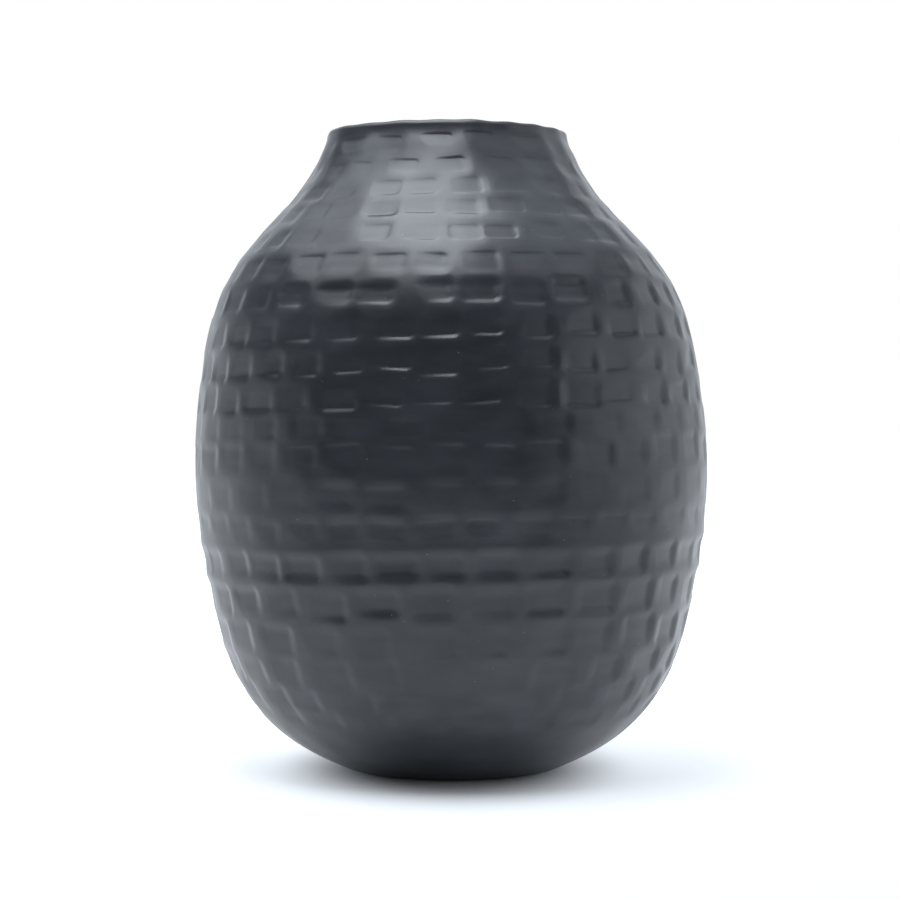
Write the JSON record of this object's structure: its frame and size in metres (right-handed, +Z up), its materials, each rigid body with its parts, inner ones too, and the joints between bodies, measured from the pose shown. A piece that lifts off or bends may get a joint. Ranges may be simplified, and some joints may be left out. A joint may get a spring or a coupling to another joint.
{
  "type": "clay pot",
  "caption": "Round-bellied black clay jar with a short neck and an open mouth, coil built on a pressed bowl foot, its wall beaten all over with rows of shallow rectangular marks.",
  "frame": {"origin": "centre of the flat underside, which the pot stands on", "axes": "+Z up along the pot's axis, through the middle of the mouth; the pot is round, so +X and +Y are any two square directions, with the pictured side facing -Y"},
  "size_m": [0.226, 0.226, 0.28],
  "materials": {
    "burnished_black_clay": "satin"
  },
  "bodies": {
    "root": {"base_bowl": "burnished_black_clay", "foot_wall_coil": "burnished_black_clay", "lower_belly_coil": "burnished_black_clay", "belly_coil": "burnished_black_clay", "upper_belly_coil": "burnished_black_clay", "shoulder_coil": "burnished_black_clay", "neck_coil": "burnished_black_clay", "lip_coil": "burnished_black_clay"}
  },
  "joints": []
}
